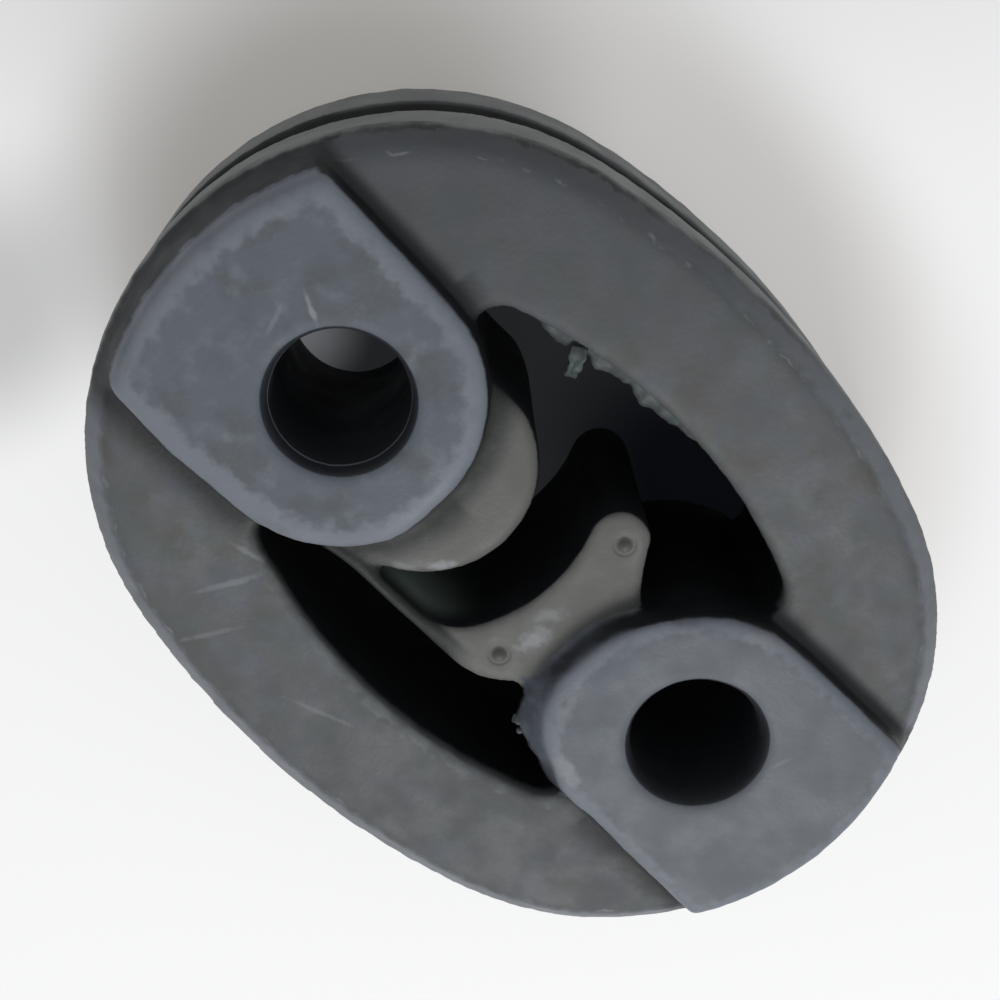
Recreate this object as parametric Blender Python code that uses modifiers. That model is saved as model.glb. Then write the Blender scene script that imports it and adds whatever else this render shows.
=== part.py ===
"""Exhaust hanger rubber, one moulded piece, lying flat on its two rear boss faces.

An oval ring of black rubber joins two bosses, each with a bore for a hanger rod. A grooved wall runs
round the ring. Inside it, a rounded bump stop grows from the first boss and faces a concave saddle
on the second, and a thin arm ties the saddle's lower horn back to the first boss.
"""
import math

import bmesh
import bpy

MM = 0.001

# The two rods
ROD_SPACING = 41.4 * MM
BORE_DIAMETER = 11.0 * MM
LEAD_IN_WIDTH = 0.5 * MM
LEAD_IN_DEPTH = 1.5 * MM

# Bosses, with the bores, through the whole thickness
BOSS_WIDTH = 23.0 * MM
BOSS_HEIGHT = 27.2 * MM
BOSS_EDGE_RADIUS = 1.2 * MM
BOSS_FLANK_FLARE = 0.6 * MM
BOSS_END_SETBACK = 0.4 * MM
BOSS_END_SLOPE = 1.5 * MM

# Ring between the bosses, whose faces lie a step below theirs
RING_LENGTH = 77.0 * MM
RING_WIDTH = 56.8 * MM
RING_SIDE_RISE = 1.6 * MM
RING_STEP = 2.9 * MM
RING_CHAMFER = 1.7 * MM

# Groove round the ring's outer wall
GROOVE_WIDTH = 5.2 * MM
GROOVE_DEPTH = 2.2 * MM
GROOVE_TAPER = 0.9 * MM

# Opening inside the ring
OPENING_LENGTH = 35.0 * MM
OPENING_WIDTH = 34.0 * MM
OPENING_SIDE_RADIUS = 45.0 * MM
OPENING_CORNER_RADIUS = 2.4 * MM
OPENING_LIP = 0.45 * MM

# Bump stop on the first boss
STOP_RADIUS = 9.25 * MM
STOP_REACH = 6.85 * MM
STOP_TURN = 78
STOP_STEP = 3.1 * MM
STOP_EDGE_RADIUS = 1.1 * MM

# Saddle on the second boss: a gap from the stop, a free upper horn, and necks that slope into the boss
SADDLE_GAP = 5.1 * MM
SADDLE_HORN_Y = 7.0 * MM
SADDLE_HORN_RADIUS = 2.6 * MM
SADDLE_HORN_TURN = 20
SADDLE_NECK_X = 8.3 * MM
SADDLE_NECK_Y = 5.3 * MM
SADDLE_NECK_SLOPE = 39
SADDLE_STEP = 3.0 * MM
SADDLE_EDGE_RADIUS = 0.5 * MM

# Arm from the saddle's lower horn to the first boss
ARM_OUTER_Y = 10.2 * MM
ARM_THICKNESS = 1.1 * MM
ARM_BEND_X = 2.5 * MM
ARM_BEND_RADIUS = 5.8 * MM
ARM_INNER_RADIUS = 5.0 * MM

# Pips on the saddle's horns
PIP_DIAMETER = 1.7 * MM
PIP_HEIGHT = 0.35 * MM
PIP_ROOT = 0.7 * MM
PIP_SHIFT = 0.5 * MM

# Fineness of the round stretches
END_STEPS = 26
SIDE_STEPS = 10
NOSE_STEPS = 28
BORE_STEPS = 48
CORNER_STEPS = 6
CRADLE_STEPS = 14
BEND_STEPS = 10
EDGE_STEPS = 3
FINE_EDGE_STEPS = 2
PIP_STEPS = 16

# Places worked out from the sizes above
ROD_X = ROD_SPACING / 2
BOSS_RADIUS = BOSS_WIDTH / 2
BOSS_ROOT_X = ROD_X - BOSS_RADIUS * 0.75
MID_Z = BOSS_HEIGHT / 2
RING_END_RADIUS = RING_WIDTH / 2 - RING_SIDE_RISE
STOP_X = -ROD_X + BOSS_RADIUS + STOP_REACH - STOP_RADIUS
CRADLE_RADIUS = STOP_RADIUS + SADDLE_GAP
PAST = 5.0 * MM


def clear_scene():
    for obj in list(bpy.data.objects):
        bpy.data.objects.remove(obj, do_unlink=True)


def collection(name):
    group = bpy.data.collections.new(name)
    bpy.context.scene.collection.children.link(group)
    return group


def arc(cx, cy, radius, start, end, steps):
    """Points on an arc, from start to end in degrees, both ends included."""
    turn = [math.radians(start + (end - start) * i / steps) for i in range(steps + 1)]
    return [(cx + radius * math.cos(a), cy + radius * math.sin(a)) for a in turn]


def without_doubles(points, gap=0.01 * MM):
    kept = []
    for p in points:
        if not kept or math.dist(p, kept[-1]) > gap:
            kept.append(p)
    while math.dist(kept[0], kept[-1]) <= gap:
        kept.pop()
    return kept


def ring_outline(inset):
    """Oval of two end arcs and two flatter side arcs, tangent to each other, set in by inset."""
    half_length = RING_LENGTH / 2
    half_width = RING_WIDTH / 2
    end_x = half_length - RING_END_RADIUS
    side_radius = (end_x ** 2 + half_width ** 2 - RING_END_RADIUS ** 2) / (2 * RING_SIDE_RISE)
    side_y = side_radius - half_width
    join = math.degrees(math.atan2(side_y, end_x))
    end = RING_END_RADIUS - inset
    side = side_radius - inset
    points = arc(end_x, 0, end, -join, join, END_STEPS)
    points += arc(0, -side_y, side, join, 180 - join, SIDE_STEPS)
    points += arc(-end_x, 0, end, 180 - join, 180 + join, END_STEPS)
    points += arc(0, side_y, side, 180 + join, 360 - join, SIDE_STEPS)
    return without_doubles(points)


def opening_outline(grow):
    """Lens with cut ends and rounded corners, grown by grow."""
    centre_y = OPENING_SIDE_RADIUS - OPENING_WIDTH / 2
    corner_x = OPENING_LENGTH / 2 - OPENING_CORNER_RADIUS
    reach = OPENING_SIDE_RADIUS - OPENING_CORNER_RADIUS
    corner_y = math.sqrt(reach ** 2 - corner_x ** 2) - centre_y
    join = math.degrees(math.atan2(corner_y + centre_y, corner_x))
    corner = OPENING_CORNER_RADIUS + grow
    side = OPENING_SIDE_RADIUS + grow
    points = arc(corner_x, corner_y, corner, 0, join, CORNER_STEPS)
    points += arc(0, -centre_y, side, join, 180 - join, SIDE_STEPS * 2)
    points += arc(-corner_x, corner_y, corner, 180 - join, 180, CORNER_STEPS)
    points += arc(-corner_x, -corner_y, corner, 180, 180 + join, CORNER_STEPS)
    points += arc(0, centre_y, side, 180 + join, 360 - join, SIDE_STEPS * 2)
    points += arc(corner_x, -corner_y, corner, 360 - join, 360, CORNER_STEPS)
    return without_doubles(points)


def boss_outline(side):
    """Round nose about the bore, and slightly flared flanks that run out past the ring's end."""
    tail_x = RING_LENGTH / 2 + PAST
    tail_y = BOSS_RADIUS + BOSS_FLANK_FLARE
    points = arc(ROD_X, 0, BOSS_RADIUS, 90, 270, NOSE_STEPS)
    points += [(tail_x, -tail_y), (tail_x, tail_y)]
    return without_doubles([(side * x, y) for x, y in points])


def slab(name, points, low, high, group):
    """Flat outline filled and given its thickness, as a closed mesh."""
    curve = bpy.data.curves.new(name, "CURVE")
    curve.dimensions = "2D"
    curve.fill_mode = "BOTH"
    curve.extrude = (high - low) / 2
    spline = curve.splines.new("POLY")
    spline.points.add(len(points) - 1)
    for point, (x, y) in zip(spline.points, points):
        point.co = (x, y, 0, 1)
    spline.use_cyclic_u = True
    source = bpy.data.objects.new(name + "_outline", curve)
    bpy.context.scene.collection.objects.link(source)
    source.location.z = (low + high) / 2
    bpy.context.view_layer.update()
    seen = source.evaluated_get(bpy.context.evaluated_depsgraph_get())
    mesh = bpy.data.meshes.new_from_object(seen)
    bm = bmesh.new()
    bm.from_mesh(mesh)
    bmesh.ops.remove_doubles(bm, verts=bm.verts, dist=0.001 * MM)
    bmesh.ops.dissolve_limit(bm, angle_limit=math.radians(1), verts=bm.verts, edges=bm.edges)
    bmesh.ops.recalc_face_normals(bm, faces=bm.faces)
    bm.to_mesh(mesh)
    bm.free()
    mesh.transform(source.matrix_world)
    obj = bpy.data.objects.new(name, mesh)
    group.objects.link(obj)
    bpy.data.objects.remove(source, do_unlink=True)
    return obj


def loft(name, outline, profile, group, closed=False):
    """Skins an outline through levels, each an inset and a height; caps both ends, or closes into a band."""
    bm = bmesh.new()
    rows = [[bm.verts.new((x, y, z)) for x, y in outline(inset)] for inset, z in profile]
    count = len(rows[0])
    for low, high in zip(rows, rows[1:] + rows[:1] if closed else rows[1:]):
        for i in range(count):
            j = (i + 1) % count
            bm.faces.new((low[i], low[j], high[j], high[i]))
    if not closed:
        bm.faces.new(rows[0])
        bm.faces.new(rows[-1])
    bmesh.ops.recalc_face_normals(bm, faces=bm.faces)
    mesh = bpy.data.meshes.new(name)
    bm.to_mesh(mesh)
    bm.free()
    obj = bpy.data.objects.new(name, mesh)
    group.objects.link(obj)
    return obj


def turned(name, x, y, profile, group, steps=BORE_STEPS):
    """Solid of revolution about an upright axis: a profile of radius and height, top to bottom."""
    mesh = bpy.data.meshes.new(name)
    bm = bmesh.new()
    line = [bm.verts.new((r, 0, z)) for r, z in profile]
    for a, b in zip(line, line[1:]):
        bm.edges.new((a, b))
    bm.to_mesh(mesh)
    bm.free()
    obj = bpy.data.objects.new(name, mesh)
    obj.location = (x, y, 0)
    group.objects.link(obj)
    screw = obj.modifiers.new("turn", "SCREW")
    screw.steps = steps
    screw.render_steps = steps
    screw.use_merge_vertices = True
    screw.merge_threshold = 0.00001
    return obj


def round_rims(obj, radius, segments):
    """Rounds the edges round the two flat ends of a slab."""
    bm = bmesh.new()
    bm.from_mesh(obj.data)
    flat = {f for f in bm.faces if abs(f.normal.z) > 0.99}
    rims = [e for e in bm.edges if len([f for f in e.link_faces if f in flat]) == 1]
    bmesh.ops.bevel(bm, geom=rims, offset=radius, segments=segments, profile=0.5, affect="EDGES",
                    clamp_overlap=True)
    bm.to_mesh(obj.data)
    bm.free()


def boolean(obj, other, operation):
    mod = obj.modifiers.new(operation.lower() + "_" + other.name, "BOOLEAN")
    mod.operation = operation
    mod.object = other
    mod.solver = "EXACT"
    other.hide_render = True
    other.display_type = "WIRE"


def ring_body(group):
    """Oval slab with chamfered rims."""
    low = RING_STEP
    high = BOSS_HEIGHT - RING_STEP
    profile = [(RING_CHAMFER, low), (0, low + RING_CHAMFER), (0, high - RING_CHAMFER), (RING_CHAMFER, high)]
    return loft("hanger_rubber", ring_outline, profile, group)


def opening_cutter(group):
    """Space of the opening, flared at both faces of the ring."""
    low = RING_STEP
    high = BOSS_HEIGHT - RING_STEP
    profile = [(OPENING_LIP, low - PAST), (OPENING_LIP, low), (0, low + OPENING_LIP),
               (0, high - OPENING_LIP), (OPENING_LIP, high), (OPENING_LIP, high + PAST)]
    return loft("opening_space", opening_outline, profile, group)


def boss_envelope(group):
    """Ends the bosses at the ring's own wall: a little set back from it, sloped towards each face."""
    foot = RING_STEP + RING_CHAMFER
    top = BOSS_END_SETBACK + BOSS_END_SLOPE
    half = arc(top + BOSS_EDGE_RADIUS, BOSS_EDGE_RADIUS, BOSS_EDGE_RADIUS, 270, 180, EDGE_STEPS)
    half.append((BOSS_END_SETBACK, foot))
    profile = half + [(inset, BOSS_HEIGHT - z) for inset, z in reversed(half)]
    return loft("boss_ends", ring_outline, profile, group)


def boss(name, side, envelope, group):
    """Column with a round nose about its bore, as wide to its end, where the envelope cuts it off."""
    obj = slab(name, boss_outline(side), 0, BOSS_HEIGHT, group)
    round_rims(obj, BOSS_EDGE_RADIUS, EDGE_STEPS)
    boolean(obj, envelope, "INTERSECT")
    return obj


def groove_cutter(group):
    """Band round the ring, as deep as the groove, with sloped sides."""
    half = GROOVE_WIDTH / 2
    bottom = half - GROOVE_TAPER
    outside = -PAST
    flare = half + GROOVE_TAPER * PAST / GROOVE_DEPTH
    profile = [(outside, MID_Z - flare), (GROOVE_DEPTH, MID_Z - bottom),
               (GROOVE_DEPTH, MID_Z + bottom), (outside, MID_Z + flare)]
    return loft("groove_band", ring_outline, profile, group, closed=True)


def bump_stop(group):
    """Rounded stop that grows out of the first boss's nose."""
    points = arc(STOP_X, 0, STOP_RADIUS, -STOP_TURN, STOP_TURN, NOSE_STEPS)
    flank = STOP_RADIUS * math.sin(math.radians(STOP_TURN))
    points += [(-ROD_X, flank), (-ROD_X, -flank)]
    obj = slab("bump_stop", without_doubles(points), STOP_STEP, BOSS_HEIGHT - STOP_STEP, group)
    round_rims(obj, STOP_EDGE_RADIUS, EDGE_STEPS)
    return obj


def saddle_horn():
    """Centre of the upper horn, whose round end is tangent to the cradle."""
    return STOP_X + math.sqrt((CRADLE_RADIUS + SADDLE_HORN_RADIUS) ** 2 - SADDLE_HORN_Y ** 2), SADDLE_HORN_Y


def saddle_outline():
    """Cradle about the bump stop, the free upper horn, both necks, and the arm along the lower side."""
    x, y = saddle_horn()
    upper = math.degrees(math.atan2(y, x - STOP_X))
    inner_y = ARM_INNER_RADIUS - (ARM_OUTER_Y - ARM_THICKNESS)
    inner_x = math.sqrt((CRADLE_RADIUS - ARM_INNER_RADIUS) ** 2 - inner_y ** 2)
    lower = math.degrees(math.atan2(-inner_y, inner_x))
    slope = math.tan(math.radians(SADDLE_NECK_SLOPE))
    points = arc(STOP_X + inner_x, inner_y, ARM_INNER_RADIUS, -90, -lower, CORNER_STEPS)
    points += arc(STOP_X, 0, CRADLE_RADIUS, -lower, upper, CRADLE_STEPS)
    points += arc(x, y, SADDLE_HORN_RADIUS, 180 + upper, SADDLE_HORN_TURN, BEND_STEPS)
    points += [(SADDLE_NECK_X, SADDLE_NECK_Y)]
    points += [(BOSS_ROOT_X, SADDLE_NECK_Y - (BOSS_ROOT_X - SADDLE_NECK_X) * slope)]
    bend_y = ARM_BEND_RADIUS - ARM_OUTER_Y
    bend = arc(ARM_BEND_X, bend_y, ARM_BEND_RADIUS, SADDLE_NECK_SLOPE - 90, -90, CORNER_STEPS)
    points += [(BOSS_ROOT_X, bend[0][1] + (BOSS_ROOT_X - bend[0][0]) * slope)]
    points += bend
    points += [(-ROD_X, -ARM_OUTER_Y), (-ROD_X, ARM_THICKNESS - ARM_OUTER_Y)]
    return without_doubles(points)


def saddle(group):
    obj = slab("saddle", saddle_outline(), SADDLE_STEP, BOSS_HEIGHT - SADDLE_STEP, group)
    round_rims(obj, SADDLE_EDGE_RADIUS, FINE_EDGE_STEPS)
    return obj


def bore(name, x, group):
    """Rod bore with a lead-in cone at each face."""
    radius = BORE_DIAMETER / 2
    rim = radius + LEAD_IN_WIDTH
    top = BOSS_HEIGHT
    profile = [(0, top + PAST), (rim, top + PAST), (rim, top), (radius, top - LEAD_IN_DEPTH),
               (radius, LEAD_IN_DEPTH), (rim, 0), (rim, -PAST), (0, -PAST)]
    return turned(name, x, 0, profile, group)


def pip(name, y, face, group):
    """Small raised pip on a horn of the saddle, where the mould was vented."""
    radius = PIP_DIAMETER / 2
    level = MID_Z + face * (MID_Z - SADDLE_STEP)
    low, high = sorted((level + face * PIP_HEIGHT, level - face * PIP_ROOT))
    profile = [(0, high), (radius, high), (radius, low), (0, low)]
    return turned(name, saddle_horn()[0] + PIP_SHIFT, y, profile, group, PIP_STEPS)


def rubber():
    """Black moulded rubber with a dull grey bloom."""
    mat = bpy.data.materials.new("black_rubber")
    mat.use_nodes = True
    shader = mat.node_tree.nodes["Principled BSDF"]
    shader.inputs["Base Color"].default_value = (0.107, 0.117, 0.136, 1)
    shader.inputs["Roughness"].default_value = 0.62
    shader.inputs["Metallic"].default_value = 0.0
    mat.diffuse_color = (0.107, 0.117, 0.136, 1)
    return mat


clear_scene()
part = collection("exhaust_hanger")
tools = collection("cutters")

hanger = ring_body(part)
boolean(hanger, opening_cutter(tools), "DIFFERENCE")
ends = boss_envelope(tools)
boolean(hanger, boss("first_boss", -1, ends, tools), "UNION")
boolean(hanger, boss("second_boss", 1, ends, tools), "UNION")
boolean(hanger, bump_stop(tools), "UNION")
boolean(hanger, saddle(tools), "UNION")
boolean(hanger, groove_cutter(tools), "DIFFERENCE")
boolean(hanger, bore("first_bore", -ROD_X, tools), "DIFFERENCE")
boolean(hanger, bore("second_bore", ROD_X, tools), "DIFFERENCE")
horn_y = saddle_horn()[1]
for i, (y, face) in enumerate([(horn_y, 1), (-horn_y, 1), (horn_y, -1), (-horn_y, -1)]):
    boolean(hanger, pip("pip_%d" % (i + 1), y, face, tools), "UNION")
hanger.data.materials.append(rubber())
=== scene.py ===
import math
import bpy
import numpy as np
from mathutils import Matrix, Vector, noise


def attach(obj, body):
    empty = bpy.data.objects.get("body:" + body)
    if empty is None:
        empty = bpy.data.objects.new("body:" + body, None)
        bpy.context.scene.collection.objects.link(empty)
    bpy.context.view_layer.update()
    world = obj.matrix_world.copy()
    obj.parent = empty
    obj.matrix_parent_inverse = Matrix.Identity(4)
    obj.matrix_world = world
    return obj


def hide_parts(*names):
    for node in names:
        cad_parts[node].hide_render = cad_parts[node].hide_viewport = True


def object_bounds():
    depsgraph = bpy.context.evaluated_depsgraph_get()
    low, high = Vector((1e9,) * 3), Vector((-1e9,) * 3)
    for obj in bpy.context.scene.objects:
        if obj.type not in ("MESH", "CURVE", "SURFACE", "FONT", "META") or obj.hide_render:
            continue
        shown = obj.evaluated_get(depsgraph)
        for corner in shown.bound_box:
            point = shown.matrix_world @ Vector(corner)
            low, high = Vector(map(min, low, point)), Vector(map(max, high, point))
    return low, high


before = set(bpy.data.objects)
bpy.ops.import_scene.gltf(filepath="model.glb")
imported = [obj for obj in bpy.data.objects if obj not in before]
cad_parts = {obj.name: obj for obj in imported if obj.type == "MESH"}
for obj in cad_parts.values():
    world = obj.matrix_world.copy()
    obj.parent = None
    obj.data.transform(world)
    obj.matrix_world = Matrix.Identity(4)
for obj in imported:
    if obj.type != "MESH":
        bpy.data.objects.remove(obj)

cad_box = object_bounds()

# Moulded hanger: one piece of black EPDM rubber, pressed and cured in a two-half mould.
# The oval ring, both bosses, the bump stop, the saddle and its arm are one skin, so every
# inner corner carries a small fillet and every edge is soft and a little uneven.
GRAIN_OF_MESH = 0.00048
SWELL_SIZE = 0.011
SWELL_DEPTH = 0.00008
LUMP_SIZE = 0.0026
LUMP_DEPTH = 0.00004
TRIM_SIZE = 0.0009
TRIM_DEPTH = 0.00009


def only(obj):
    """Leaves this object as the one that is selected and active."""
    bpy.ops.object.select_all(action="DESELECT")
    obj.select_set(True)
    bpy.context.view_layer.objects.active = obj


def finish_with(obj, kind, **settings):
    """Adds a modifier with its settings and applies it."""
    modifier = obj.modifiers.new(kind.lower(), kind)
    for key, value in settings.items():
        setattr(modifier, key, value)
    only(obj)
    bpy.ops.object.modifier_apply(modifier=modifier.name)


def grid(across, along):
    """A flat square of one metre in so many cells each way, to be bent into form."""
    bpy.ops.object.select_all(action="DESELECT")
    bpy.ops.mesh.primitive_grid_add(x_subdivisions=across, y_subdivisions=along, size=1,
                                    location=(0, 0, 0))
    return bpy.context.object


def skin_of(obj):
    """Every point of a mesh and its outward direction, as two arrays."""
    count = len(obj.data.vertices)
    places = np.empty(count * 3, np.float32)
    facing = np.empty(count * 3, np.float32)
    obj.data.vertices.foreach_get("co", places)
    obj.data.vertices.foreach_get("normal", facing)
    return places.reshape(-1, 3), facing.reshape(-1, 3)


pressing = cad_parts["hanger_rubber"]
hanger = bpy.data.objects.new("moulded_hanger", pressing.data.copy())
bpy.context.scene.collection.objects.link(hanger)
only(hanger)
bpy.ops.object.mode_set(mode="EDIT")
bpy.ops.mesh.select_all(action="SELECT")
bpy.ops.mesh.remove_doubles(threshold=0.000002)
bpy.ops.object.mode_set(mode="OBJECT")

# Skirt: where the mould's halves stood apart, a sloped lump of rubber filled the corner beside the
# saddle boss's nose. It is one with the rest, so it is joined on before the skin is made. Its turns
# are in degrees about the bore, and its radii and drops below the front face are in mm.
BORE_X = 0.0207
SKIRT_TURNS = (150, 175, 192, 200, 214, 222, 231, 238, 248, 262)
SKIRT_EDGES = (11.5, 12.0, 12.5, 12.9, 13.0, 12.8, 12.4, 12.0, 12.1, 11.5)
SKIRT_RIMS = (11.5, 13.0, 13.7, 14.1, 15.2, 15.3, 14.3, 13.6, 13.2, 11.5)
SKIRT_ROOT = 9.5
SKIRT_LEVEL = 0.7
SKIRT_ROUNDING = 0.25
SKIRT_BEND = (0.0, 0.25, 0.4, 0.5, 1.0)
SKIRT_FALL = (0.06, 0.06, 0.2, 0.5, 2.9)
SKIRT_THICK = 0.0025
skirt = grid(80, 20)
for point in skirt.data.vertices:
    turn = SKIRT_TURNS[0] + (SKIRT_TURNS[-1] - SKIRT_TURNS[0]) * (point.co.x + 0.5)
    edge = float(np.interp(turn, SKIRT_TURNS, SKIRT_EDGES))
    rim = float(np.interp(turn, SKIRT_TURNS, SKIRT_RIMS))
    out = 0.5 - point.co.y
    radii = (SKIRT_ROOT, edge - SKIRT_LEVEL, edge - SKIRT_ROUNDING, edge, rim)
    reach = float(np.interp(out, SKIRT_BEND, radii))
    fall = float(np.interp(out, SKIRT_BEND, SKIRT_FALL))
    around = Vector((math.cos(math.radians(turn)), math.sin(math.radians(turn)), 0))
    rag = 0.00035 * noise.noise(around * 22) + 0.00020 * noise.noise(around * 50)
    level_place = Vector((BORE_X, 0, cad_box[1].z - fall / 1000))
    point.co = level_place + around * (reach / 1000 + rag * out ** 3)
skirt.data.update()
finish_with(skirt, "SOLIDIFY", thickness=SKIRT_THICK, offset=-1.0)
only(hanger)
skirt.select_set(True)
bpy.ops.object.join()
finish_with(hanger, "REMESH", mode="VOXEL", voxel_size=GRAIN_OF_MESH, adaptivity=0.0)
finish_with(hanger, "SMOOTH", factor=0.5, iterations=4)

# The plan of the moulding, which tells how far each point lies from the edges on it.
BOSS_HALF = 0.0115
BOSS_FLARE = 0.0006
BOSS_TAIL = 0.0435
BOSS_END = 0.0249
END_X = 0.0117
END_RADIUS = 0.0268
SIDE_RADIUS = 0.0704
SIDE_Y = 0.0420
OPENING_RADIUS = 0.0450
OPENING_Y = 0.0280
OPENING_END = 0.0175
CORNER_X = 0.0151
CORNER_Y = 0.01183
CORNER_RADIUS = 0.0024
MIDDLE_LEVEL = cad_box[1].z / 2


def plan(points):
    """Distances in mm: into a boss and in from its sides, in from the ring's wall, out from the
    opening, from the nearer bore's axis and down from the nearer face."""
    x, y, z = points.T
    along, across = np.abs(x), np.abs(y)
    from_bore = np.hypot(along - BORE_X, y)
    half = BOSS_HALF + BOSS_FLARE * (along - BORE_X) / (BOSS_TAIL - BORE_X)
    turn = np.degrees(np.arctan2(y, x - BORE_X)) % 360
    skirt_edge = np.interp(turn, SKIRT_TURNS, SKIRT_EDGES) / 1000
    lip = np.where((x > 0) & (z > MIDDLE_LEVEL), skirt_edge, BOSS_HALF)
    nose = np.where(along < BORE_X, lip - from_bore, half - across)
    into_boss = np.minimum(nose, BOSS_END - np.hypot(along - END_X, y))
    from_end = END_RADIUS - np.hypot(along - END_X, y)
    from_side = SIDE_RADIUS - np.hypot(x, across + SIDE_Y)
    at_end = (along - END_X) * SIDE_Y > across * END_X
    inset = np.where(at_end, from_end, from_side)
    past_side = np.hypot(x, across + OPENING_Y) - OPENING_RADIUS
    past_corner = np.hypot(along - CORNER_X, across - CORNER_Y) - CORNER_RADIUS
    in_side = along * (CORNER_Y + OPENING_Y) < (across + OPENING_Y) * CORNER_X
    low = across < CORNER_Y
    past = np.where(in_side, past_side, np.where(low, along - OPENING_END, past_corner))
    depth = np.minimum(z - cad_box[0].z, cad_box[1].z - z)
    return [1000 * d for d in (into_boss, nose, inset, past, from_bore, depth)]


places, facing = skin_of(hanger)
into_boss, from_side, inset, past, from_bore, depth = plan(places)
# The skin swells a little, and is ragged on its trimmed rims: within RIM_REACH of the ring's
# chamfer, LIP_REACH of the opening and LIP_REACH of a boss's edge, all in mm.
RIM_INSET = 0.9
RIM_REACH = 0.9
LIP_REACH = 0.5
swell = np.array([noise.noise(Vector(p) / SWELL_SIZE) for p in places])
lumps = np.array([noise.noise(Vector(p) / LUMP_SIZE + Vector((7.3, 1.9, 4.4))) for p in places])
ragged = np.array([noise.noise(Vector(p) / TRIM_SIZE + Vector((2.7, 5.1, 8.2))) for p in places])
on_rim = np.exp(-((inset - RIM_INSET) / RIM_REACH) ** 2) * (depth < 6)
on_lip = np.exp(-(past / LIP_REACH) ** 2) * (depth < 5)
on_boss = np.exp(-(into_boss / LIP_REACH) ** 2) * (depth < 2) * 0.6
trimmed = np.maximum(np.maximum(on_rim, on_lip), on_boss)
raised = swell * SWELL_DEPTH + lumps * LUMP_DEPTH + ragged * trimmed * TRIM_DEPTH
places = places + facing * raised[:, None]
places[:, 2] = np.clip(places[:, 2], cad_box[0].z, cad_box[1].z)
hanger.data.vertices.foreach_set("co", places.astype(np.float32).ravel())
hanger.data.update()

# Vents: a small dome with a faint ring round it on each horn, left by the mould's vent pins. It
# is the same rubber, and the skin is made finer there first.
VENT_PLACES = ((0.00434, 0.0070), (0.00434, -0.0070))
VENT_FIELD = 0.0017
VENT_RING = 0.00100
VENT_DOME = 0.00060
VENT_DEPTH = 0.00008
VENT_RISE = 0.00060
VENT_BLEND = 0.0004
SADDLE_FACE = 0.0030
FACE_REACH = 0.0008
near_vent = []
for face in hanger.data.polygons:
    level = min(face.center.z, cad_box[1].z - face.center.z)
    spot = min(math.dist(face.center[:2], place) for place in VENT_PLACES)
    near_vent.append(spot < VENT_FIELD and abs(level - SADDLE_FACE) < FACE_REACH)
only(hanger)
bpy.ops.object.mode_set(mode="EDIT")
bpy.ops.mesh.select_mode(type="FACE")
bpy.ops.mesh.select_all(action="DESELECT")
bpy.ops.object.mode_set(mode="OBJECT")
hanger.data.polygons.foreach_set("select", near_vent)
bpy.ops.object.mode_set(mode="EDIT")
bpy.ops.mesh.subdivide(number_cuts=3, quadcorner="INNERVERT")
bpy.ops.object.mode_set(mode="OBJECT")
for point in hanger.data.vertices:
    for place in VENT_PLACES:
        out = math.dist(point.co[:2], place)
        side = 1 if point.co.z > MIDDLE_LEVEL else -1
        level = SADDLE_FACE if side < 0 else cad_box[1].z - SADDLE_FACE
        if out > VENT_FIELD or abs(point.co.z - level) > FACE_REACH:
            continue
        if out < VENT_DOME:
            height = VENT_RISE * math.cos(math.pi / 2 * out / VENT_DOME)
        elif out < VENT_RING:
            height = -VENT_DEPTH * math.sin(math.pi * (out - VENT_DOME) / (VENT_RING - VENT_DOME))
        else:
            height = 0.0
        share = min(1.0, max(0.0, (VENT_FIELD - out) / VENT_BLEND))
        point.co.z = point.co.z * (1 - share) + (level + side * height) * share
hanger.data.update()
only(hanger)
bpy.ops.object.shade_smooth()

# The attributes that the finish reads: the distances of the plan in mm, how level the skin is, how
# dark the foot of each step is painted, for want of bloom and as painted shade, and what belongs to
# the skirt. The dark foot is widest below the lower flanks, which the camera sees past.
FOOT_LOWER_STOP = 4.0
FOOT_LOWER_SADDLE = 3.0
FOOT_UPPER = 1.5
FOOT_STOP_NOSE = 2.8
FOOT_SADDLE_NOSE = 1.9
FOOT_SOFTNESS = 0.62
STEP_TOP = 1.9
SKIRT_LOWEST = 3.6
NECK_LOWEST = 2.75
NECK_TURN = 206
SKIRT_FADE = 0.35
LOWEST_FADE = 0.3
places, facing = skin_of(hanger)
into_boss, from_side, inset, past, from_bore, depth = plan(places)
level = np.abs(facing[:, 2])
x, y, z = places[:, 0], places[:, 1], places[:, 2]
reach = np.where(y < 0, np.where(x < 0, FOOT_LOWER_STOP, FOOT_LOWER_SADDLE), FOOT_UPPER)
reach = np.where((x > -BORE_X) & (x < 0), np.maximum(reach, FOOT_STOP_NOSE), reach)
reach = np.where((x > 0) & (x < BORE_X), FOOT_SADDLE_NOSE, reach)
turn = np.degrees(np.arctan2(y, x - BORE_X)) % 360
rim = np.interp(turn, SKIRT_TURNS, SKIRT_RIMS)
lowest = np.where(turn > NECK_TURN, SKIRT_LOWEST, NECK_LOWEST)
on_skirt = np.clip((0.1 - from_side) / SKIRT_FADE, 0, 1) * (from_bore < rim + SKIRT_FADE) * (x > 0)
on_skirt = on_skirt * np.clip((lowest - depth) / LOWEST_FADE, 0, 1) * (z > MIDDLE_LEVEL)
on_skirt = on_skirt * (turn > SKIRT_TURNS[0] + 8) * (turn < SKIRT_TURNS[-1] - 4)
foot = np.clip((reach + from_side) / (FOOT_SOFTNESS * reach), 0, 1)
foot = foot * (depth > STEP_TOP) * (1 - on_skirt)
marks = {"into_boss": into_boss, "from_side": from_side, "inset": inset, "past_opening": past,
         "from_bore": from_bore, "depth": depth, "level": level, "foot": foot, "skirt": on_skirt}
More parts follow.
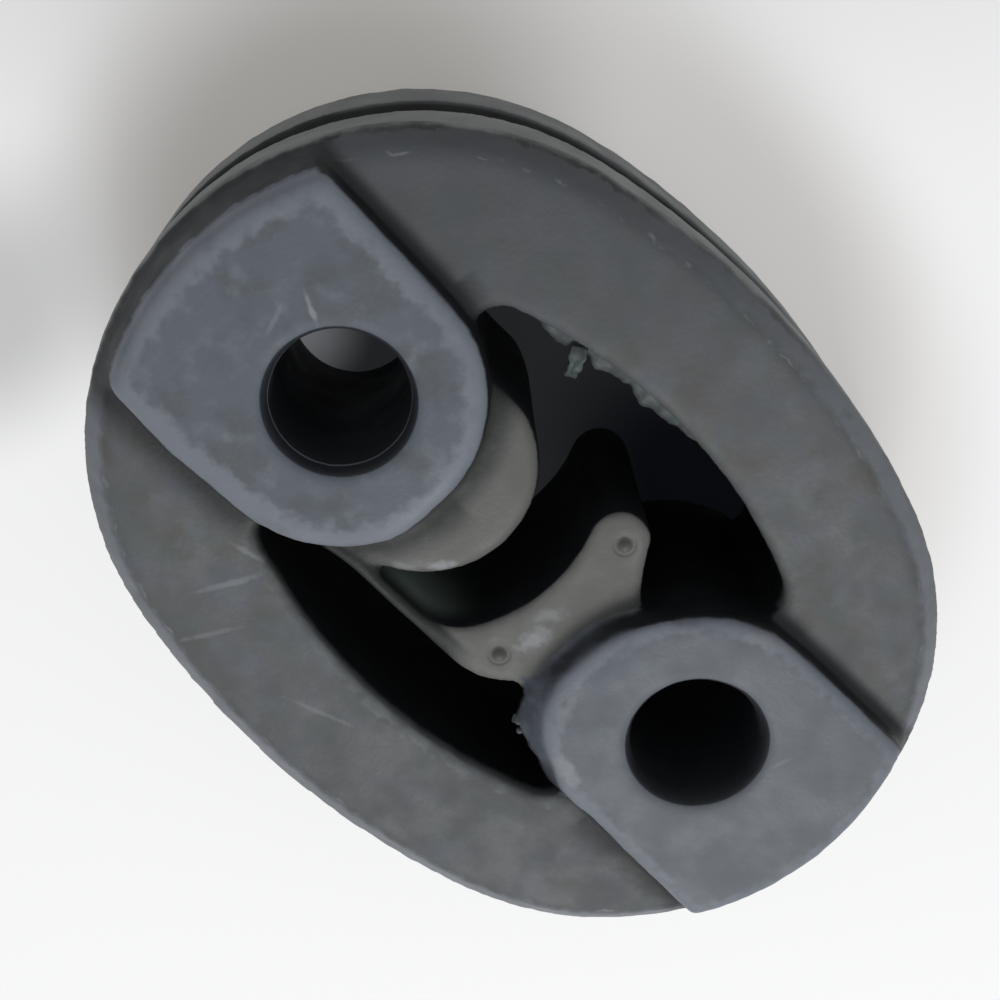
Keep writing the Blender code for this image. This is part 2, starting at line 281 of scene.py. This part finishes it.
for name, values in marks.items():
    made = hanger.data.attributes.new(name, "FLOAT", "POINT")
    made.data.foreach_set("value", values.astype(np.float32))

# Wide flank: the stop boss's lower flank came out of the mould a little wide. The step and the
# faces beside it follow softly, and the ring's wall stays.
WIDE_FLANK = 0.00075
FLANK_REACH = 2.2
FLANK_START_Y = -0.001
FLANK_FADE_Y = 0.004
FLANK_START_X = -0.035
FLANK_FADE_X = 0.008
FLANK_STOP_X = -0.004
FLANK_LOWEST = 6
FLANK_FADE_DOWN = 2.5
FLANK_INSET = 3
spread = np.exp(-(into_boss / FLANK_REACH) ** 2) * np.clip((FLANK_START_Y - y) / FLANK_FADE_Y, 0, 1)
spread = spread * np.clip((x - FLANK_START_X) / FLANK_FADE_X, 0, 1) * (x < FLANK_STOP_X)
spread = spread * np.clip((FLANK_LOWEST - depth) / FLANK_FADE_DOWN, 0, 1)
spread = spread * np.clip(inset / FLANK_INSET, 0, 1)
spread = spread * (z > MIDDLE_LEVEL)
outward = np.stack([np.where(x > -BORE_X, x + BORE_X, 0), y], axis=1)
outward = outward / np.maximum(np.linalg.norm(outward, axis=1), 0.0001)[:, None]
places[:, :2] = places[:, :2] + outward * (spread * WIDE_FLANK)[:, None]
hanger.data.vertices.foreach_set("co", places.astype(np.float32).ravel())
hanger.data.update()


def paint(code):
    """A linear colour from its sRGB hex value."""
    parts = [int(code[i:i + 2], 16) / 255 for i in (1, 3, 5)]
    return tuple(c / 12.92 if c <= 0.04045 else ((c + 0.055) / 1.055) ** 2.4 for c in parts) + (1,)


def node(tree, kind, links=None, **settings):
    """Adds a node; settings are its options or its sockets, links are sockets fed by other nodes."""
    made = tree.nodes.new(kind)
    for key, value in settings.items():
        if hasattr(made, key):
            setattr(made, key, value)
        else:
            made.inputs[key.replace("_", " ")].default_value = value
    for key, source in (links or {}).items():
        tree.links.new(source, made.inputs[key])
    return made


# Cured EPDM: carbon black makes it near black, and a grey bloom of wax and dust lies on all
# that faces outwards, bluish on the bosses and in brown and greenish patches on the ring. Edges
# are paler, with painted highlights over a little rub. Inner walls and the corners at the foot of
# each step stay black for want of bloom, darkened further as painted shade, and some faces carry
# painted light.
cured = bpy.data.materials.new("cured_epdm_rubber")
cured.use_nodes = True
tree = cured.node_tree
skin = tree.nodes["Principled BSDF"]
skin.inputs["IOR"].default_value = 1.5
skin.inputs["Specular IOR Level"].default_value = 0.4
where = node(tree, "ShaderNodeTexCoord").outputs["Object"]


def cloud(size, detail, low, high, shift=(0, 0, 0)):
    """Soft noise with patches of that size in metres, between 0 and 1 from low to high."""
    moved = node(tree, "ShaderNodeMapping", {"Vector": where}, vector_type="POINT")
    moved.inputs["Location"].default_value = shift
    field = node(tree, "ShaderNodeTexNoise", {"Vector": moved.outputs["Vector"]},
                 Scale=1 / size, Detail=detail)
    return ramp(field.outputs["Fac"], low, high)


def ramp(source, low, high):
    """A value that is 0 at low and 1 at high."""
    made = node(tree, "ShaderNodeMapRange", {"Value": source}, interpolation_type="SMOOTHSTEP")
    made.inputs["From Min"].default_value = low
    made.inputs["From Max"].default_value = high
    return made.outputs["Result"]


def reckon(operation, a, b):
    """One sum of two values or sockets."""
    made = node(tree, "ShaderNodeMath", operation=operation)
    for socket, value in zip(made.inputs, (a, b)):
        if isinstance(value, bpy.types.NodeSocket):
            tree.links.new(value, socket)
        else:
            socket.default_value = value
    return made.outputs[0]


def times(first, *others):
    """The product of values or sockets, in their order."""
    for other in others:
        first = reckon("MULTIPLY", first, other)
    return first


def line_at(source, level, half):
    """A value that is 1 within half of a level, and 0 beyond."""
    made = reckon("COMPARE", source, level)
    made.node.inputs[2].default_value = half
    return made


def reach_of(place, half, turn=0):
    """How far out a point lies in an oval patch, 1 on its edge. Place and half sizes are in mm."""
    moved = node(tree, "ShaderNodeMapping", {"Vector": where}, vector_type="TEXTURE")
    moved.inputs["Location"].default_value = (place[0] / 1000, place[1] / 1000, 0)
    moved.inputs["Rotation"].default_value = (0, 0, math.radians(turn))
    moved.inputs["Scale"].default_value = (half[0] / 1000, half[1] / 1000, 1)
    out = node(tree, "ShaderNodeVectorMath", {0: moved.outputs["Vector"]}, operation="LENGTH")
    return out.outputs["Value"]


def laid_over(colour, coat, share):
    """A colour or socket with a coat over it, where share is 1."""
    mix = node(tree, "ShaderNodeMix", {0: share}, data_type="RGBA")
    for socket, value in ((mix.inputs[6], colour), (mix.inputs[7], coat)):
        if isinstance(value, bpy.types.NodeSocket):
            tree.links.new(value, socket)
        else:
            socket.default_value = value
    return mix.outputs[2]


def measured(name):
    """One of the skin's attributes."""
    return node(tree, "ShaderNodeAttribute", attribute_name=name).outputs["Fac"]


RING_GREY = paint("#595b5d")
RING_BROWN = paint("#565553")
RING_GREEN = paint("#535a58")
RING_BLUE = paint("#595d64")
RING_PALE = paint("#626568")
RING_PAINTED_SHADE = paint("#484b4f")
BOSS_GREY = paint("#5d636d")
BOSS_DULL = paint("#555a5e")
BOSS_PALE = paint("#697078")
BOSS_PAINTED_LIGHT = paint("#666b70")
BOSS_SLOPE_PAINTED_LIGHT = paint("#626974")
SKIRT_LILAC = paint("#545963")
SKIRT_DARK = paint("#41464e")
SADDLE_GREY = paint("#626360")
EDGE_RUB_AND_HIGHLIGHT = paint("#747982")
CHAMFER_PAINTED_LIGHT = paint("#74787e")
ARRIS_RUB_AND_HIGHLIGHT = paint("#7a7d81")
LIP_GREY = paint("#666b6c")
FOOT_BARE_AND_SHADE = paint("#1b1f20")
WALL_BARE_AND_SHADE = paint("#101316")
BORE_BARE_AND_SHADE = paint("#25292e")
ARM_WALL_PAINTED_LIGHT = paint("#8b9a94")
ARM_EDGE_PAINTED_SHADE = paint("#1d2122")
OUTER_WALL = paint("#767878")
GROOVE_SHADE_BLACK = paint("#161816")
LEAD_HIGHLIGHT = paint("#666b73")
SCUFF_AND_HIGHLIGHT = paint("#8a8d91")

# What the masks are made of: the skin's attributes in mm, the place along and across the part in
# mm, how far up the picture a point lies in metres, and a fine wander that frays the borders.
wander = reckon("SUBTRACT", cloud(0.0012, 4, 0.2, 0.8, (3, 1, 2)), 0.5)
depth_in = measured("depth")
level_in = measured("level")
boss_in = measured("into_boss")
side_in = measured("from_side")
inset_in = measured("inset")
past_in = measured("past_opening")
bore_out = measured("from_bore")
skirt_in = measured("skirt")
split = node(tree, "ShaderNodeSeparateXYZ", {0: where}).outputs
across_in = times(split["Y"], 1000)
along_in = times(split["X"], 1000)
slope = node(tree, "ShaderNodeVectorMath", {0: where}, operation="DOT_PRODUCT")
slope.inputs[1].default_value = (-0.55, 0.83, 0)
uphill = slope.outputs["Value"]
flat = ramp(level_in, 0.45, 0.8)
upright = ramp(level_in, 0.62, 0.32)
top = ramp(depth_in, 1.6, 1.2)
inner = ramp(past_in, 0.1, -0.2)

# Ring: grey and mottled, and darkened at both ends of the picture's slope by painted shade.
colour = laid_over(RING_GREY, RING_BROWN, cloud(0.0040, 4, 0.42, 0.66))
colour = laid_over(colour, RING_GREEN, cloud(0.0036, 4, 0.50, 0.72, (0.3, 0.1, 0.2)))
colour = laid_over(colour, RING_BLUE, cloud(0.0046, 4, 0.46, 0.70, (0.9, 0.2, 0.5)))
colour = laid_over(colour, RING_PALE, cloud(0.0030, 4, 0.50, 0.76, (0.7, 0.5, 0.4)))
colour = laid_over(colour, RING_PAINTED_SHADE, times(ramp(uphill, 0.012, 0.032), 0.85))
colour = laid_over(colour, RING_PAINTED_SHADE, times(ramp(uphill, -0.004, -0.026), 0.45))

# Bosses: bluish bloom, painted light that makes them paler towards the saddle's end, and more
# painted light that makes them a little paler on their sloped ends.
boss_colour = laid_over(BOSS_GREY, BOSS_DULL, cloud(0.0034, 4, 0.42, 0.68, (0.1, 0.6, 0.8)))
boss_colour = laid_over(boss_colour, BOSS_PALE, cloud(0.0026, 4, 0.50, 0.74, (0.4, 0.8, 0.1)))
boss_colour = laid_over(boss_colour, BOSS_PAINTED_LIGHT, times(ramp(along_in, -5, 25), 0.75))
colour = laid_over(colour, boss_colour, top)
colour = laid_over(colour, SADDLE_GREY, times(inner, ramp(depth_in, 1.2, 2.2)))
sloped_end = times(ramp(side_in, 0.0, 0.6), ramp(level_in, 0.88, 0.70),
                   ramp(inset_in, 3.6, 2.9), ramp(depth_in, 4.6, 4.0))
colour = laid_over(colour, BOSS_SLOPE_PAINTED_LIGHT, sloped_end)

# Paler edges, each a painted highlight over a little rub: a soft band inside each boss's edge and a
# thin line on the ring's arris. The ring's chamfer is paler as painted light, and a pale band runs
# round the lower side of the opening.
edge_reach = reckon("SUBTRACT", reckon("ADD", boss_in, wander), times(ramp(along_in, 5, -5), 0.6))
edge_band = times(ramp(edge_reach, 1.75, 0.75), top, cloud(0.0022, 4, 0.05, 0.5, (0.6, 0.3, 0.3)))
colour = laid_over(colour, EDGE_RUB_AND_HIGHLIGHT, edge_band)
# Painted light: the ring's chamfer is made paler except on the side away from the lamp.
chamfer = times(ramp(reckon("ADD", inset_in, times(wander, 0.4)), 2.0, 1.2),
                ramp(depth_in, 1.0, 2.6), ramp(uphill, 0.036, 0.010),
                cloud(0.0028, 4, 0.05, 0.45, (0.2, 0.2, 0.9)))
colour = laid_over(colour, CHAMFER_PAINTED_LIGHT, chamfer)
arris = line_at(reckon("ADD", inset_in, times(wander, 0.5)), 1.85, 0.11)
arris = times(arris, flat, ramp(depth_in, 2.2, 2.7), cloud(0.0016, 4, 0.48, 0.78, (0.5, 0.9, 0.6)))
colour = laid_over(colour, ARRIS_RUB_AND_HIGHLIGHT, arris)
lip = times(ramp(reckon("ADD", past_in, wander), 1.3, 0.7), flat, ramp(depth_in, 1.8, 2.4),
            ramp(past_in, -0.3, 0.0), ramp(across_in, 2, -6),
            cloud(0.0022, 4, 0.3, 0.7, (0.8, 0.1, 0.1)))
colour = laid_over(colour, LIP_GREY, lip)

# Steps and skirt: the foot of each step is nearly black, for want of bloom and as painted shade,
# and the skirt is a darker lilac grey.
colour = laid_over(colour, FOOT_BARE_AND_SHADE, times(measured("foot"), 0.88))
skirt_colour = laid_over(SKIRT_LILAC, SKIRT_DARK, cloud(0.0020, 4, 0.35, 0.65, (0.3, 0.3, 0.9)))
colour = laid_over(colour, skirt_colour, skirt_in)


def mark(place, length, width, turn, strength, grit):
    """A pale mark on the front, for scratches, patches and a painted highlight: its place and size in
    mm, and its turn in degrees.
    """
    uneven = reckon("SUBTRACT", cloud(grit, 2, 0.2, 0.8, place + (1,)), 0.5)
    broken = reckon("ADD", reach_of(place, (length / 2, width / 2), turn), times(uneven, 0.6))
    return times(ramp(broken, 1.15, 0.25), strength, ramp(split["Z"], 0.0225, 0.0235), flat)


# Each mark's place, length, width, turn, strength and grain: two scratches on the stop boss, pale
# patches on the saddle, a painted highlight on the stop's edge, pale patches on the saddle boss's
# nose, and scratches on the ring.
SCRATCHES_AND_HIGHLIGHTS = (
    ((-27.3, 3.8), 3.4, 0.55, -25, 0.85, 0.0009),
    ((-28.6, 1.2), 3.0, 0.5, -70, 0.35, 0.0009),
    ((5.35, -4.0), 3.4, 2.0, 80, 0.85, 0.0009),
    ((4.6, -1.6), 3.2, 1.4, 60, 0.45, 0.0009),
    # The next two marks are a painted highlight on the stop's edge.
    ((-4.6, -4.7), 2.8, 1.3, 50, 0.95, 0.0009),
    ((-6.6, -7.0), 3.0, 1.0, 35, 0.45, 0.0009),
    ((14.9, -9.5), 4.4, 2.2, -15, 0.75, 0.0010),
    ((10.9, -5.6), 4.0, 1.3, -60, 0.3, 0.0010),
    ((-15.6, -18.0), 6.4, 0.7, 62, 0.45, 0.0010),
    ((-13.6, -22.4), 6.0, 0.6, 60, 0.35, 0.0010),
    ((-16.4, -15.0), 3.6, 0.6, 10, 0.40, 0.0010),
    ((17.6, 10.2), 4.2, 1.3, 30, 0.45, 0.0010),
    ((27.0, 4.0), 3.0, 0.5, 75, 0.25, 0.0010),
    ((-2.0, -21.2), 7.0, 0.5, 20, 0.28, 0.0012),
)
for pale_mark in SCRATCHES_AND_HIGHLIGHTS:
    colour = laid_over(colour, SCUFF_AND_HIGHLIGHT, mark(*pale_mark))

# Walls that no bloom reaches, darkened further as painted shade: inside the ring, deep within it,
# in the bores and at each step. One paler line, a painted highlight, runs round the stop boss's
# bore, a little below its edge.
step_side = times(ramp(side_in, 0.8, 0.3), ramp(side_in, -1.4, -0.9),
                  ramp(inset_in, 0.6, 1.4), ramp(skirt_in, 0.6, 0.2))
wall_share = times(upright, reckon("MAXIMUM", inner, step_side))
deep = times(ramp(depth_in, 3.4, 4.6), ramp(inset_in, 3.0, 4.0))
colour = laid_over(colour, WALL_BARE_AND_SHADE, reckon("MAXIMUM", wall_share, deep))
colour = laid_over(colour, BORE_BARE_AND_SHADE, times(ramp(bore_out, 6.10, 5.95), ramp(depth_in, 0.06, 0.22)))
# Painted highlight: the pale line on the edge of the lead-in.
lead = line_at(depth_in, 1.45, 0.12)
lead = times(lead, ramp(bore_out, 6.0, 5.7), ramp(along_in, 0, -5),
             cloud(0.0030, 3, 0.25, 0.5, (0.2, 0.7, 0.3)))
colour = laid_over(colour, LEAD_HIGHLIGHT, lead)

# Arm: painted shade darkens its thin edge, and painted light makes its wall beside the slot a pale
# greenish grey.
arm_zone = times(ramp(across_in, -8.2, -8.9), ramp(across_in, -11.2, -10.8),
                 ramp(along_in, 4.0, 0.5), ramp(depth_in, 5.0, 4.0),
                 ramp(depth_in, 1.3, 1.9), inner)
colour = laid_over(colour, ARM_EDGE_PAINTED_SHADE, times(arm_zone, 0.92))
slot_side = times(ramp(across_in, -5.0, -8.6), ramp(across_in, -9.7, -9.4),
                  ramp(along_in, 2.5, -4.5), ramp(depth_in, 3.6, 7.5),
                  ramp(depth_in, 17.0, 11.0), upright, inner)
colour = laid_over(colour, ARM_WALL_PAINTED_LIGHT, slot_side)

# Outer wall: grey on both flanges, and black in the groove as painted shade, with a torn line along
# the front rim drawn in the same black.
outside = times(ramp(level_in, 0.60, 0.35), ramp(inset_in, 1.6, 1.1), ramp(depth_in, 3.6, 4.4))
colour = laid_over(colour, OUTER_WALL, outside)
groove = times(ramp(depth_in, 10.3, 10.9), ramp(inset_in, 0.15, 0.5), ramp(inset_in, 4.0, 3.0))
colour = laid_over(colour, GROOVE_SHADE_BLACK, groove)
torn_line = times(ramp(reckon("ADD", inset_in, times(wander, 0.6)), 0.55, 0.35),
                  ramp(depth_in, 5.6, 5.1), ramp(depth_in, 3.6, 4.4), ramp(uphill, 0.016, 0.028),
                  ramp(split["Z"], 0.014, 0.016), 0.75,
                  cloud(0.0050, 4, 0.42, 0.68, (0.6, 0.6, 0.2)))
colour = laid_over(colour, GROOVE_SHADE_BLACK, torn_line)
tree.links.new(colour, skin.inputs["Base Color"])
SMOOTHEST = 0.52
DULLER_BY = 0.16
dull_patch = cloud(0.0035, 3, 0.3, 0.7, (0.4, 0.4, 0.8))
dullness = reckon("ADD", times(dull_patch, DULLER_BY), SMOOTHEST)
tree.links.new(dullness, skin.inputs["Roughness"])

# Moulded grain: the mould's spark-eroded texture, about 0.2 mm, drawn at 0.4 mm so that it shows.
grain = node(tree, "ShaderNodeTexNoise", {"Vector": where}, Scale=1 / 0.0004, Detail=3)
bump = node(tree, "ShaderNodeBump", {"Height": grain.outputs["Fac"]}, Strength=0.4, Distance=0.00007)
tree.links.new(bump.outputs["Normal"], skin.inputs["Normal"])
hanger.data.materials.clear()
hanger.data.materials.append(cured)
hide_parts("hanger_rubber")
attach(hanger, "root")

# Torn flash: the thin skin of rubber that squeezed between the mould's core and cavity. It was
# ripped off by hand and left a ragged strip along the opening's upper edge, with one curled flap.
FLASH_LEVEL = 0.0236
FLASH_THICK = 0.00045
FLASH_START = -0.0146
FLASH_END = 0.0022
FLASH_STEPS = 120
FLASH_ROOT = 0.0006
FLASH_LEAST = 0.0003
FLASH_MORE = 0.0009
FLASH_DROOP = 0.0006
FLASH_RIPPLE = 0.00015
flash = grid(FLASH_STEPS, 4)
flash.name = "torn_flash"
for point in flash.data.vertices:
    run = point.co.x + 0.5
    out = 0.5 - point.co.y
    x = FLASH_START + (FLASH_END - FLASH_START) * run
    root_y = math.sqrt(OPENING_RADIUS ** 2 - x ** 2) - OPENING_Y
    torn = 0.5 + 0.5 * noise.noise(Vector((x / 0.0022, 3.1, 0)))
    torn = torn + 0.35 * noise.noise(Vector((x / 0.0007, 8.4, 0)))
    ends = min(1.0, 6 * run, 6 * (1 - run))
    width = (FLASH_LEAST + FLASH_MORE * max(0.0, torn)) * ends
    droop = FLASH_DROOP * out * out * (1 + noise.noise(Vector((x / 0.0015, 1.7, 0))))
    ripple = FLASH_RIPPLE * noise.noise(Vector((x / 0.0009, out, 4.0)))
    point.co = (x, root_y + FLASH_ROOT - (width + FLASH_ROOT) * out, FLASH_LEVEL - droop + ripple)
flash.data.update()
finish_with(flash, "SOLIDIFY", thickness=FLASH_THICK, offset=-1.0)
bpy.ops.object.shade_smooth()

# The flap hangs from the strip by one corner.
FLAP_FOOT = (-0.0103, 0.01560, 0.0236)
FLAP_LONG = 0.0026
FLAP_WIDE = 0.0012
FLAP_TURN = -58
FLAP_LIFT = 0.0005
FLAP_FALL = 0.0009
FLAP_RIPPLE = 0.0003
flap = grid(14, 8)
flap.name = "flash_flap"
lie = math.radians(FLAP_TURN)
for point in flap.data.vertices:
    run = point.co.x + 0.5
    wide = point.co.y * FLAP_WIDE * (1.15 - 0.55 * run + 0.35 * noise.noise(Vector((run * 5, 2.2, 0))))
    bend = run * FLAP_LONG
    curl = FLAP_LIFT * math.sin(3.0 * run) - FLAP_FALL * run * run
    ripple = FLAP_RIPPLE * noise.noise(Vector((run * 4, point.co.y * 3, 6.1)))
    point.co = (FLAP_FOOT[0] + bend * math.cos(lie) - wide * math.sin(lie),
                FLAP_FOOT[1] + bend * math.sin(lie) + wide * math.cos(lie),
                FLAP_FOOT[2] + curl + ripple)
flap.data.update()
finish_with(flap, "SOLIDIFY", thickness=FLASH_THICK, offset=0.0)
bpy.ops.object.shade_smooth()

# Nubs: torn ends of flash on the skirt's rim, each with its place and size in mm.
NUBS = ((9.75, -10.0, 24.4, 0.48), (10.1, -9.4, 24.6, 0.34), (10.6, -10.6, 24.4, 0.28))
nubs = []
for x, y, z, size in NUBS:
    centre = Vector((x, y, z)) / 1000
    bpy.ops.object.select_all(action="DESELECT")
    bpy.ops.mesh.primitive_ico_sphere_add(subdivisions=3, radius=size / 1000, location=centre)
    nub = bpy.context.object
    bpy.ops.object.transform_apply(location=True, rotation=False, scale=False)
    for point in nub.data.vertices:
        point.co = centre + (point.co - centre) * (1 + 0.5 * noise.noise(point.co / 0.0004))
    nubs.append(nub)
bpy.ops.object.select_all(action="DESELECT")
for obj in nubs:
    obj.select_set(True)
bpy.context.view_layer.objects.active = nubs[0]
bpy.ops.object.join()
nubs = bpy.context.object
nubs.name = "trim_nubs"
bpy.ops.object.transform_apply(location=True, rotation=True, scale=True)
bpy.ops.object.shade_smooth()

# Torn EPDM: the same rubber, darker for want of bloom, and rougher where it was ripped.
ripped = bpy.data.materials.new("torn_epdm_skin")
ripped.use_nodes = True
tree = ripped.node_tree
skin = tree.nodes["Principled BSDF"]
skin.inputs["Roughness"].default_value = 0.6
skin.inputs["Specular IOR Level"].default_value = 0.4
where = node(tree, "ShaderNodeTexCoord").outputs["Object"]
TORN_GREY = paint("#444a4c")
TORN_PALE = paint("#5b6162")
fibres = laid_over(TORN_GREY, TORN_PALE, cloud(0.0013, 4, 0.40, 0.70))
tree.links.new(fibres, skin.inputs["Base Color"])
grain = node(tree, "ShaderNodeTexNoise", {"Vector": where}, Scale=1 / 0.0005, Detail=4)
bump = node(tree, "ShaderNodeBump", {"Height": grain.outputs["Fac"]}, Strength=0.6, Distance=0.0001)
tree.links.new(bump.outputs["Normal"], skin.inputs["Normal"])
for scrap in (flash, flap, nubs):
    scrap.data.materials.clear()
    scrap.data.materials.append(ripped)
    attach(scrap, "root")

# Table top: a plain white sheet, with painted shade that makes it a little greyer behind the part
# and painted shadows round and under it.
FLOOR_HALF = 1.5
bpy.ops.object.select_all(action="DESELECT")
bpy.ops.mesh.primitive_plane_add(size=2 * FLOOR_HALF, location=(0, 0, 0))
floor = bpy.context.object
floor.name = "table_top"
sheet = bpy.data.materials.new("white_sheet")
sheet.use_nodes = True
tree = sheet.node_tree
sheet_skin = tree.nodes["Principled BSDF"]
sheet_skin.inputs["Roughness"].default_value = 0.8
where = node(tree, "ShaderNodeTexCoord").outputs["Object"]
# Painted shade: the sheet is greyer behind the part, and white again towards the lamp's side.
behind = node(tree, "ShaderNodeVectorMath", {0: where}, operation="DOT_PRODUCT")
behind.inputs[1].default_value = (-0.80, 0.60, 0)
seen = laid_over(paint("#ffffff"), paint("#d2cfcd"), ramp(behind.outputs["Value"], 0.015, 0.085))
along = node(tree, "ShaderNodeSeparateXYZ", {0: where}).outputs["X"]
seen = laid_over(seen, paint("#ffffff"), ramp(along, 0.02, 0.06))

# Painted shadows behind the part first, then the painted shade that shows through the opening and
# the painted light and shade that show through the stop boss's bore: each has its colour, place,
# half sizes and softness.
PAINTED_SHADE_PATCHES = (
    ("#eae8e6", (-2, 10), (41, 31), 0.2),
    ("#bfbcb8", (-31, 6), (17, 22), 0.45),
    ("#cfcfcf", (-44, -24), (9, 12), 0.7),
    ("#2e3033", (0, 0), (30, 24), 0.06),
    ("#0d1015", (16, 11), (15, 9), 0.5),
    ("#84868a", (-24.0, -5.4), (4.8, 4.8), 0.7),
)
for code, place, half, soft in PAINTED_SHADE_PATCHES:
    seen = laid_over(seen, paint(code), ramp(reach_of(place, half), 1.0 + soft, 1.0 - soft))
rays = node(tree, "ShaderNodeLightPath").outputs
mirrored = reckon("MAXIMUM", rays["Is Glossy Ray"], rays["Is Transmission Ray"])
direct = reckon("MAXIMUM", rays["Is Camera Ray"], mirrored)
shown = laid_over(paint("#d6d6d4"), seen, direct)
tree.links.new(shown, sheet_skin.inputs["Base Color"])
# Painted light: half of what direct rays see of the sheet is its own glow, which lifts its shadows.
glow = node(tree, "ShaderNodeEmission", {"Color": seen})
lifted = node(tree, "ShaderNodeMixShader",
              {0: times(direct, 0.5), 1: sheet_skin.outputs[0], 2: glow.outputs[0]})
tree.links.new(lifted.outputs[0], tree.nodes["Material Output"].inputs["Surface"])
floor.data.materials.append(sheet)

# Light: one soft lamp beyond the saddle's end, and a pale room that fills the shadows.
MIDDLE = Vector((0, 0, 0.013))
LAMP_AWAY = 0.50
LAMP_TURN = -36
LAMP_RISE = 50
LAMP_SIZE = 0.17
LAMP_POWER = 1.30
ROOM_LEVEL = 0.45
lamp = bpy.data.lights.new("window", "AREA")
lamp.shape = "SQUARE"
lamp.size = LAMP_SIZE
lamp.energy = LAMP_POWER
holder = bpy.data.objects.new("window", lamp)
bpy.context.scene.collection.objects.link(holder)
bearing, height = math.radians(LAMP_TURN), math.radians(LAMP_RISE)
ray = Vector((math.cos(bearing) * math.cos(height), math.sin(bearing) * math.cos(height),
              math.sin(height)))
holder.location = MIDDLE + ray * LAMP_AWAY
holder.rotation_euler = ray.to_track_quat("Z", "Y").to_euler()
room = bpy.data.worlds.new("pale_room")
bpy.context.scene.world = room
room.use_nodes = True
room.node_tree.nodes["Background"].inputs["Color"].default_value = (0.97, 0.985, 1.0, 1)
room.node_tree.nodes["Background"].inputs["Strength"].default_value = ROOM_LEVEL

# Camera: above the stop's end and to one side, close, with the part's length running down the
# picture.
LENS = 60.985
SENSOR = 36.0
EYE_PLACE = (-0.04427, 0.03420, 0.14933)
EYE_AXES = Matrix(((0.68987, -0.66455, -0.28714), (0.72330, 0.64938, 0.23485),
                   (0.03039, -0.36970, 0.92866)))
eye = bpy.data.cameras.new("camera")
eye.lens = LENS
eye.sensor_width = SENSOR
eye.clip_start = 0.01
camera = bpy.data.objects.new("camera", eye)
bpy.context.scene.collection.objects.link(camera)
camera.matrix_world = Matrix.Translation(EYE_PLACE) @ EYE_AXES.to_4x4()
bpy.context.scene.camera = camera
bpy.context.scene.view_settings.view_transform = "Standard"
